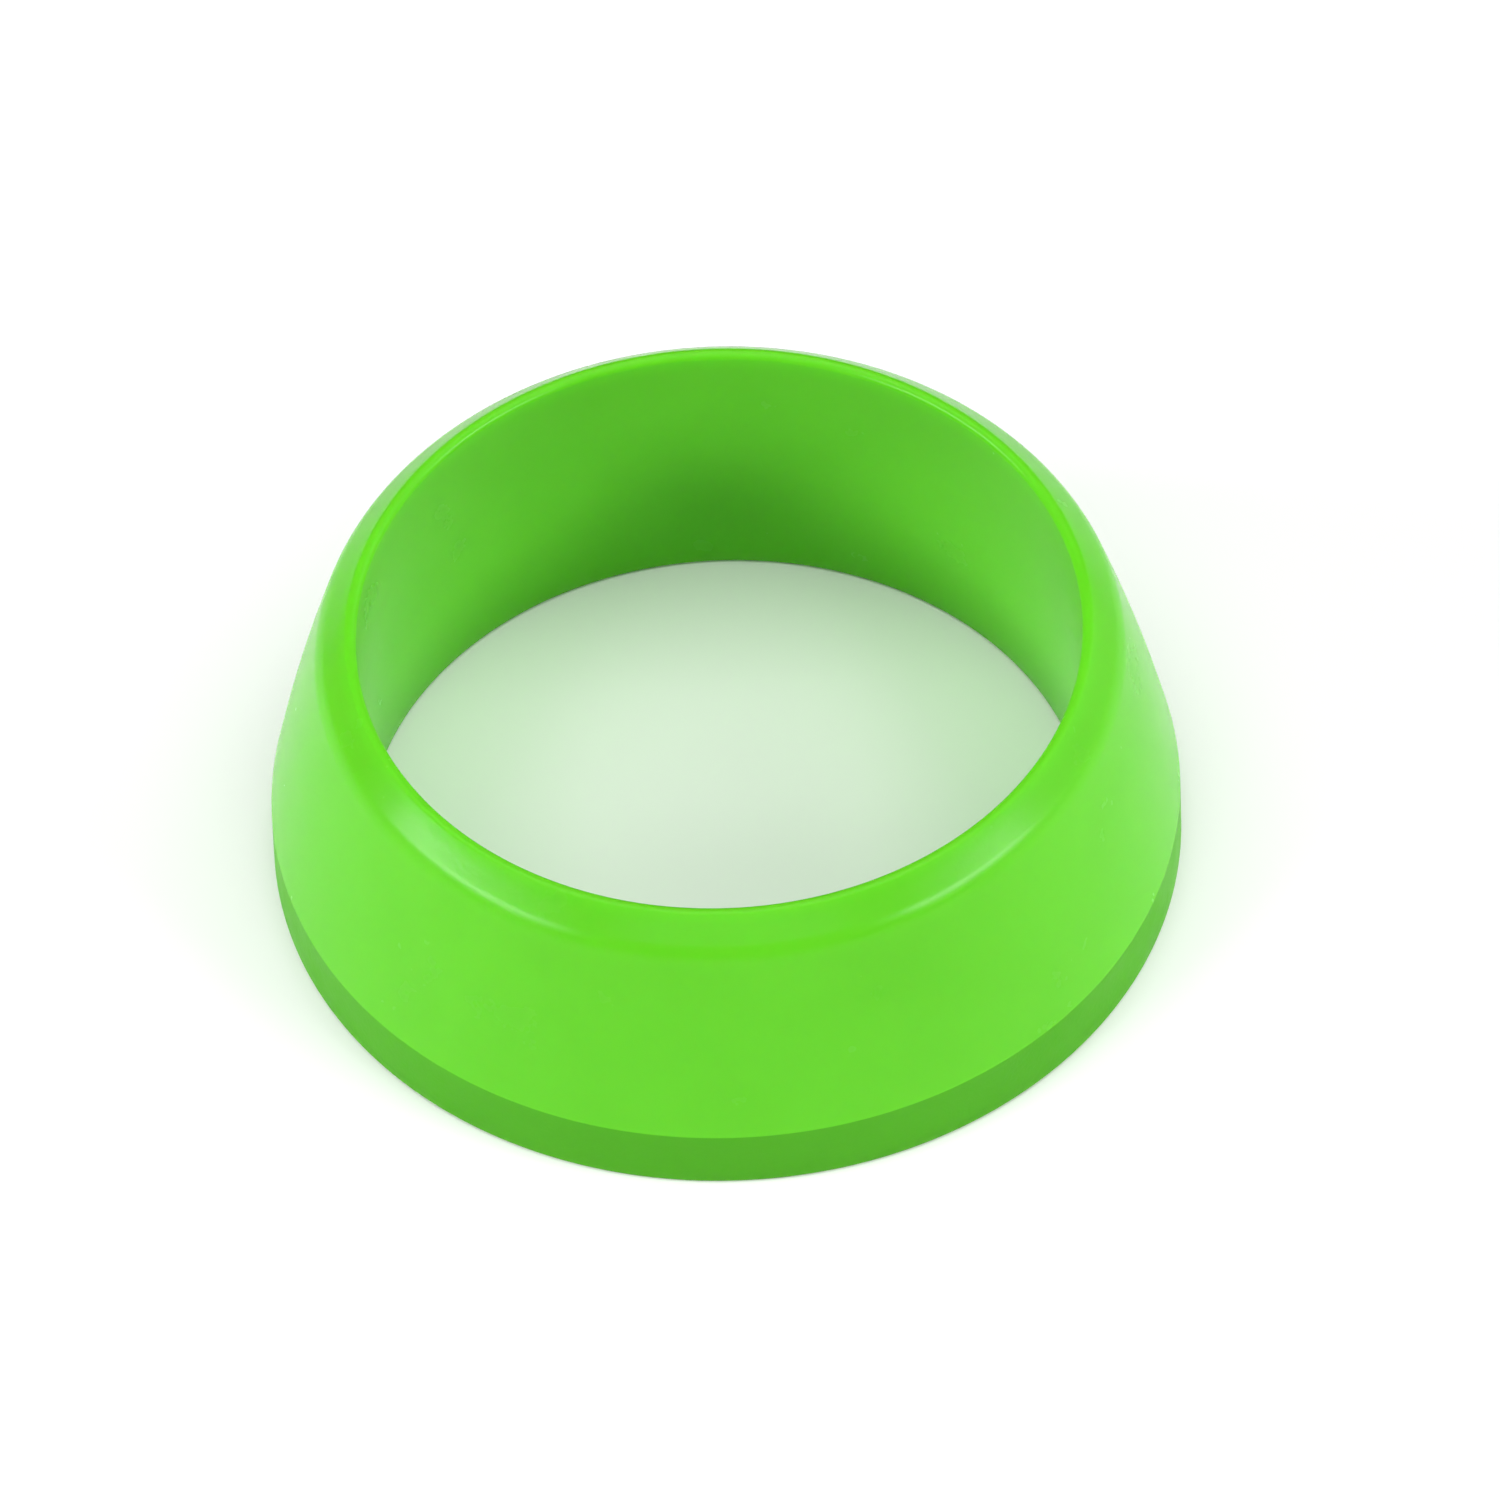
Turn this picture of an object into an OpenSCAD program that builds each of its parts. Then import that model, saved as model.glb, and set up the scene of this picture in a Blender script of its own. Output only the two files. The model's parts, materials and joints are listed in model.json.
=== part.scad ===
// Vibration dampener: one closed ring moulded in soft silicone rubber.
// The foot stands on Z = 0 and the bore runs along Z, with its axis through the origin.
// All lengths are in millimetres and all angles in degrees.

/* [Bore] */
// Diameter of the bore, a straight wall that grips the handle
bore_d = 25.4; // [22:0.2:32]
// Height of the whole ring, from the foot to the top of the lip
height = 11.1; // [10:0.1:14]

/* [Foot] */
// Wall thickness at the foot
foot_wall = 3.3; // [2.8:0.1:4]
// Height of the upright band round the foot
band_h = 2.45; // [1.5:0.05:3.5]
// Rounding of the shoulder where the band meets the cone
shoulder_r = 0.9; // [0.3:0.1:2]
// Rounding of the two edges of the foot
foot_edge_r = 0.2; // [0.1:0.05:0.4]

/* [Cone] */
// How far the middle of the cone bellies out past a straight side
belly = 0.15; // [0.05:0.05:0.25]

/* [Rim] */
// Wall thickness at the rim, measured to its unrounded corner
rim_wall = 1.42; // [1.3:0.01:1.8]
// Drop from the top of the lip to the rim's unrounded corner
rim_drop = 1.05; // [0.9:0.05:1.4]
// Rounding of the rim
rim_r = 1.6; // [0.8:0.1:1.8]
// Rounding of the lip at the mouth of the bore
lip_r = 0.25; // [0.15:0.05:0.3]

/* [Hidden] */
silicone_green = "#6FD93F";
$fn = 180;
// Flat steps in each rounded corner of the section
corner_steps = 8;
// Share of the cone's side that its belly curve takes up
belly_share = 0.7;

bore_r = bore_d / 2;
foot_r = bore_r + foot_wall;
shoulder_corner = [foot_r, band_h];
rim_corner = [bore_r + rim_wall, height - rim_drop];

// The middle of the cone is pushed out square to the line between its two ends.
cone_side = rim_corner - shoulder_corner;
cone_middle = (shoulder_corner + rim_corner) / 2;
belly_corner = cone_middle + belly * [cone_side.y, -cone_side.x] / norm(cone_side);
belly_r = belly_share * pow(norm(cone_side) / 2, 2) / belly;

// The top face runs straight from the rim's corner and just touches the lip's rounding.
lip_run = rim_wall - lip_r;
lip_rise = rim_drop - lip_r;
top_slope = atan2(lip_rise, lip_run) + asin(lip_r / norm([lip_run, lip_rise]));
lip_corner = [bore_r, rim_corner.y + rim_wall * tan(top_slope)];

// Each corner of the ring's section, with the radius that rounds it.
section = [
    [[bore_r, 0], foot_edge_r],
    [[foot_r, 0], foot_edge_r],
    [shoulder_corner, shoulder_r],
    [belly_corner, belly_r],
    [rim_corner, rim_r],
    [lip_corner, lip_r],
];

function unit(v) = v / norm(v);

// Points of the arc that rounds the corner between the points before and after it.
function rounded_corner(before, corner, after, r) =
    let (
        back = unit(before - corner),
        ahead = unit(after - corner),
        half = acos(back * ahead) / 2,
        centre = corner + unit(back + ahead) * r / sin(half),
        spoke = corner + back * r / tan(half) - centre,
        sweep = 180 - 2 * half
    )
    [for (i = [0 : corner_steps])
        let (turn = sweep * i / corner_steps)
        centre + [spoke.x * cos(turn) - spoke.y * sin(turn),
                  spoke.x * sin(turn) + spoke.y * cos(turn)]];

// The whole outline, anticlockwise, with every corner replaced by its arc.
function rounded_outline(corners) =
    let (n = len(corners))
    [for (i = [0 : n - 1])
        each rounded_corner(corners[(i + n - 1) % n][0], corners[i][0],
                            corners[(i + 1) % n][0], corners[i][1])];

module damper_ring() {
    color(silicone_green)
        rotate_extrude()
            polygon(rounded_outline(section));
}

damper_ring();
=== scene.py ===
import json
import math

import bmesh
import bpy
from mathutils import Matrix, Vector


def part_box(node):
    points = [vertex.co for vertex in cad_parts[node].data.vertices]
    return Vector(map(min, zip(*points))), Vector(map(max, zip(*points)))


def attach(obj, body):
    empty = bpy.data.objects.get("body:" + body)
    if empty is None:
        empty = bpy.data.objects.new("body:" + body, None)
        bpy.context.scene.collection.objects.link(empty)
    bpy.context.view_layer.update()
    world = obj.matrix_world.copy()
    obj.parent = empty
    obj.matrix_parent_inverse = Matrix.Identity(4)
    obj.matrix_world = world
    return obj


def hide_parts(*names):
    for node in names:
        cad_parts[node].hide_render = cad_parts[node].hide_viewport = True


# A soft silicone vibration dampener: one moulded ring with an upright foot band, a coned outside,
# a domed rim and a plain bore. Everything is in metres, and the foot stands on Z = 0.
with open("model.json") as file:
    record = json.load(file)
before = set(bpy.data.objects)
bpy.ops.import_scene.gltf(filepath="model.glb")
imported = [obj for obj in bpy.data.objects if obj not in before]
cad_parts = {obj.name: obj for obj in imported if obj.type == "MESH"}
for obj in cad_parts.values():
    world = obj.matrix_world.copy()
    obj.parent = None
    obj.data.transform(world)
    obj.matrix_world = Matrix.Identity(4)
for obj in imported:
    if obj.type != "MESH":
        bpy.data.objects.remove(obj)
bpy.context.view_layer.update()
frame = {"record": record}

MM = 0.001
RING_NODE = "damper_ring"


# ---------------------------------------------------------------- sizes of the ring
# The foot, the height and the bore come from the CAD, and the rest are the moulding's own sizes.
ring_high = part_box(RING_NODE)[1]
foot_r = ring_high.x
height = ring_high.z
handle_bore = next(m for m in frame["record"]["mounts"] if m["name"] == "handle_bore")
bore_r = handle_bore["dims"]["r_mm"] * MM

band_h = 2.45 * MM
shoulder_r = 0.9 * MM
foot_edge_r = 0.2 * MM
# The corner at the cone's middle stands out this far past a straight side, and its arc takes up
# this share of the side.
belly = 0.15 * MM
belly_share = 0.7
rim_wall = 1.42 * MM
rim_drop = 1.05 * MM
rim_r = 1.6 * MM
lip_r = 0.25 * MM

# The mesh's spacing along a straight side of the section, and its steps round the ring.
side_step = 0.7 * MM
steps_round = 360


# ---------------------------------------------------------------- colours and nodes
def srgb(hex_colour):
    """An sRGB hex colour as the linear RGBA that the shader nodes take."""
    channels = [int(hex_colour[i:i + 2], 16) / 255 for i in (1, 3, 5)]
    linear = [c / 12.92 if c <= 0.04045 else ((c + 0.055) / 1.055) ** 2.4 for c in channels]
    return (*linear, 1.0)


def add_node(tree, kind, settings=None, inputs=None):
    """Adds a node with its settings. An input, by name or by place in the node's list, is a
    value or an output socket to link from."""
    node = tree.nodes.new(kind)
    for name, value in (settings or {}).items():
        setattr(node, name, value)
    for name, value in (inputs or {}).items():
        if isinstance(value, bpy.types.NodeSocket):
            tree.links.new(value, node.inputs[name])
        else:
            node.inputs[name].default_value = value
    return node


def new_material(name):
    """A material with an empty node tree."""
    material = bpy.data.materials.new(name)
    material.use_nodes = True
    material.node_tree.nodes.clear()
    return material, material.node_tree


# ---------------------------------------------------------------- materials
def moulded_silicone(name, deep_green, light_green, smoothest, roughest, gloss, grain_depth):
    """Pigmented liquid silicone rubber, injection moulded: a soft, slightly milky body that lets
    light pass a millimetre or so under the skin, a colour that clouds a little with the pigment,
    the tool's fine grain on the skin, and faint dull patches where it has been handled."""
    material, tree = new_material(name)
    place = add_node(tree, "ShaderNodeTexCoord").outputs["Object"]

    pigment_cloud = 6 * MM
    clouds = add_node(tree, "ShaderNodeTexNoise", {}, {
        "Vector": place, "Scale": 1 / pigment_cloud, "Detail": 3.0, "Roughness": 0.55})
    colour_a, colour_b, colour_out = 6, 7, 2
    colour = add_node(tree, "ShaderNodeMix", {"data_type": "RGBA"}, {
        "Factor": clouds.outputs["Fac"],
        colour_a: srgb(deep_green), colour_b: srgb(light_green)})

    handled_patch = 2.5 * MM
    patches = add_node(tree, "ShaderNodeTexNoise", {}, {
        "Vector": place, "Scale": 1 / handled_patch, "Detail": 4.0, "Roughness": 0.6})
    dullness = add_node(tree, "ShaderNodeMapRange", {}, {
        "Value": patches.outputs["Fac"], "From Min": 0.3, "From Max": 0.7,
        "To Min": smoothest, "To Max": roughest})

    # The tool's grain is about 0.05 mm across. It is drawn coarser, so that it shows.
    tool_grain = 0.20 * MM
    grain = add_node(tree, "ShaderNodeTexNoise", {}, {
        "Vector": place, "Scale": 1 / tool_grain, "Detail": 2.0, "Roughness": 0.6})
    skin = add_node(tree, "ShaderNodeBump", {}, {
        "Height": grain.outputs["Fac"], "Strength": 0.4, "Distance": grain_depth})

    surface = add_node(tree, "ShaderNodeBsdfPrincipled", {}, {
        "Base Color": colour.outputs[colour_out], "Roughness": dullness.outputs["Result"],
        "IOR": 1.41, "Specular IOR Level": gloss,
        "Subsurface Weight": 1.0, "Subsurface Scale": 1.4 * MM,
        "Subsurface Radius": (0.8, 1.0, 0.7), "Normal": skin.outputs["Normal"]})
    add_node(tree, "ShaderNodeOutputMaterial", {}, {"Surface": surface.outputs["BSDF"]})
    return material


def satin_silicone():
    """The bore, cone and rim leave a smooth part of the tool, so they have a soft sheen."""
    return moulded_silicone(
        "satin_green_silicone", deep_green="#58B51A", light_green="#60C022",
        smoothest=0.22, roughest=0.28, gloss=0.21, grain_depth=0.011 * MM)


def band_silicone_painted_shade():
    """The foot band leaves a spark-eroded part of the tool, so it is coarser and duller. Its
    deeper green is painted shade, standing for the shade that falls on the upright band.
    """
    return moulded_silicone(
        # The deeper greens below are painted shade: the band is the same green silicone as the
        # cone, drawn darker for the shade it gets.
        "matt_green_silicone_painted_shade", deep_green="#459517", light_green="#4B9E1B",
        smoothest=0.38, roughest=0.52, gloss=0.10, grain_depth=0.022 * MM)


def white_board():
    """Matt white painted board."""
    material, tree = new_material("white_painted_board")
    surface = add_node(tree, "ShaderNodeBsdfPrincipled", {}, {
        "Base Color": srgb("#FAFAFA"), "Roughness": 0.9})
    add_node(tree, "ShaderNodeOutputMaterial", {}, {"Surface": surface.outputs["BSDF"]})
    return material


# ---------------------------------------------------------------- the ring
def ring_corners():
    """Corners of the ring's section from the bore's foot outward: the radius, height and rounding
    of each, and the number of segments in its arc."""
    shoulder = Vector((foot_r, band_h))
    rim = Vector((bore_r + rim_wall, height - rim_drop))
    side = rim - shoulder
    outward = Vector((side.y, -side.x)).normalized()
    middle = (shoulder + rim) / 2 + outward * belly
    belly_r = belly_share * (side.length / 2) ** 2 / belly
    run, rise = rim_wall - lip_r, rim_drop - lip_r
    top_slope = math.atan2(rise, run) + math.asin(lip_r / math.hypot(run, rise))
    lip = Vector((bore_r, rim.y + rim_wall * math.tan(top_slope)))
    return [
        (bore_r, 0.0, foot_edge_r, 6),
        (foot_r, 0.0, foot_edge_r, 6),
        (shoulder.x, shoulder.y, shoulder_r, 6),
        (middle.x, middle.y, belly_r, 16),
        (rim.x, rim.y, rim_r, 14),
        (lip.x, lip.y, lip_r, 12),
    ]


def draw_arc(bm, before, corner, after, rounding, segments):
    """Draws the true arc that rounds one corner of the section, and returns its two ends."""
    back, ahead = (before - corner).normalized(), (after - corner).normalized()
    half = back.angle(ahead) / 2
    centre = corner + (back + ahead).normalized() * rounding / math.sin(half)
    first = bm.verts.new(corner + back * rounding / math.tan(half))
    made = bmesh.ops.spin(bm, geom=[first], cent=centre, axis=(0, -1, 0),
                          angle=math.pi - 2 * half, steps=segments)
    last = next(v for v in made["geom_last"] if isinstance(v, bmesh.types.BMVert))
    return first, last


def draw_section(bm):
    """Draws the ring's section in the XZ plane: rounded corners joined by straight sides."""
    corners = ring_corners()
    points = [Vector((r, 0, z)) for r, z, _, _ in corners]
    count = len(points)
    ends = [draw_arc(bm, points[i - 1], points[i], points[(i + 1) % count], *corners[i][2:])
            for i in range(count)]
    sides = [bm.edges.new((ends[i - 1][1], ends[i][0])) for i in range(count)]
    for side in sides:
        cuts = int(side.calc_length() / side_step)
        if cuts:
            bmesh.ops.subdivide_edges(bm, edges=[side], cuts=cuts)


def make_ring():
    """Spins the section into the ring. The foot band, outside the middle of the wall, gets the
    duller material with its painted shade.
    """
    wall_middle = (bore_r + foot_r) / 2
    satin, painted_shade_band = 0, 1
    bm = bmesh.new()
    draw_section(bm)
    bmesh.ops.spin(bm, geom=bm.verts[:] + bm.edges[:], cent=(0, 0, 0), axis=(0, 0, 1),
                   angle=math.tau, steps=steps_round, use_merge=True)
    bmesh.ops.recalc_face_normals(bm, faces=bm.faces[:])
    for face in bm.faces:
        face.smooth = True
        centre = face.calc_center_median()
        # The band faces take the material with the painted shade, darker for the shade that falls
        # on the upright band.
        on_band = centre.z < band_h and centre.xy.length > wall_middle
        face.material_index = painted_shade_band if on_band else satin
    mesh = bpy.data.meshes.new("silicone_ring")
    bm.to_mesh(mesh)
    bm.free()
    ring = bpy.data.objects.new("silicone_ring", mesh)
    bpy.context.scene.collection.objects.link(ring)
    mesh.materials.append(satin_silicone())
    mesh.materials.append(band_silicone_painted_shade())
    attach(ring, "root")
    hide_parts(RING_NODE)


# ---------------------------------------------------------------- stage, camera and light
def make_floor():
    """A plain white board that fills the camera's view."""
    half_width = 3.0
    bm = bmesh.new()
    bmesh.ops.create_grid(bm, x_segments=1, y_segments=1, size=half_width)
    mesh = bpy.data.meshes.new("floor")
    bm.to_mesh(mesh)
    bm.free()
    floor = bpy.data.objects.new("floor", mesh)
    bpy.context.scene.collection.objects.link(floor)
    mesh.materials.append(white_board())


def make_camera():
    """A long lens looking down on the ring, with a slight roll."""
    elevation = 0.8640
    roll = -0.0409
    stand_off = 960 * MM
    aim = Vector((0.91, 0, 4.50)) * MM
    view_width = 52.70 * MM
    place = stand_off * Vector((0, -math.cos(elevation), math.sin(elevation)))
    back = (place - aim).normalized()
    right = Vector((0, 0, 1)).cross(back).normalized()
    up = back.cross(right)
    turn = Matrix((right, up, back)).transposed().to_4x4() @ Matrix.Rotation(roll, 4, "Z")
    data = bpy.data.cameras.new("camera")
    data.sensor_width = 36.0
    data.lens = data.sensor_width * (place - aim).length / view_width
    data.clip_start = 0.05
    data.clip_end = 20
    camera = bpy.data.objects.new("camera", data)
    camera.matrix_world = Matrix.Translation(place) @ turn
    bpy.context.scene.collection.objects.link(camera)
    bpy.context.scene.camera = camera


def soft_box(name, azimuth, elevation, width, depth, watts, distance=1.0):
    """A soft light that faces the ring. Azimuth 0 is in front of it and 90 is on its right."""
    a, e = math.radians(azimuth), math.radians(elevation)
    direction = Vector((math.sin(a) * math.cos(e), -math.cos(a) * math.cos(e), math.sin(e)))
    data = bpy.data.lights.new(name, "AREA")
    data.shape = "RECTANGLE"
    data.size, data.size_y = width, depth
    data.energy = watts
    light = bpy.data.objects.new(name, data)
    light.location = direction * distance
    light.rotation_euler = direction.to_track_quat("Z", "Y").to_euler()
    bpy.context.scene.collection.objects.link(light)


def make_lights():
    """Low strips on both sides draw the streaks on the rim, a fill on the right and a weak strip
    in front lift the shade, and a wide box overhead whitens the floor."""
    soft_box("left_strip", azimuth=-68, elevation=23, width=0.80, depth=0.17, watts=9.0)
    soft_box("right_strip", azimuth=62, elevation=23, width=0.60, depth=0.17, watts=6.3)
    soft_box("right_fill", azimuth=102, elevation=25, width=1.20, depth=0.80, watts=3.4)
    soft_box("front_strip", azimuth=0, elevation=42, width=0.90, depth=0.14, watts=1.1)
    soft_box("top_box", azimuth=0, elevation=90, width=1.70, depth=1.30, watts=12.8, distance=1.2)
    world = bpy.data.worlds.new("studio")
    world.use_nodes = True
    room_light = 0.03
    background = world.node_tree.nodes["Background"]
    background.inputs["Color"].default_value = srgb("#FFFFFF")
    background.inputs["Strength"].default_value = room_light
    bpy.context.scene.world = world
    bpy.context.scene.view_settings.view_transform = "Standard"


make_ring()
make_floor()
make_camera()
make_lights()
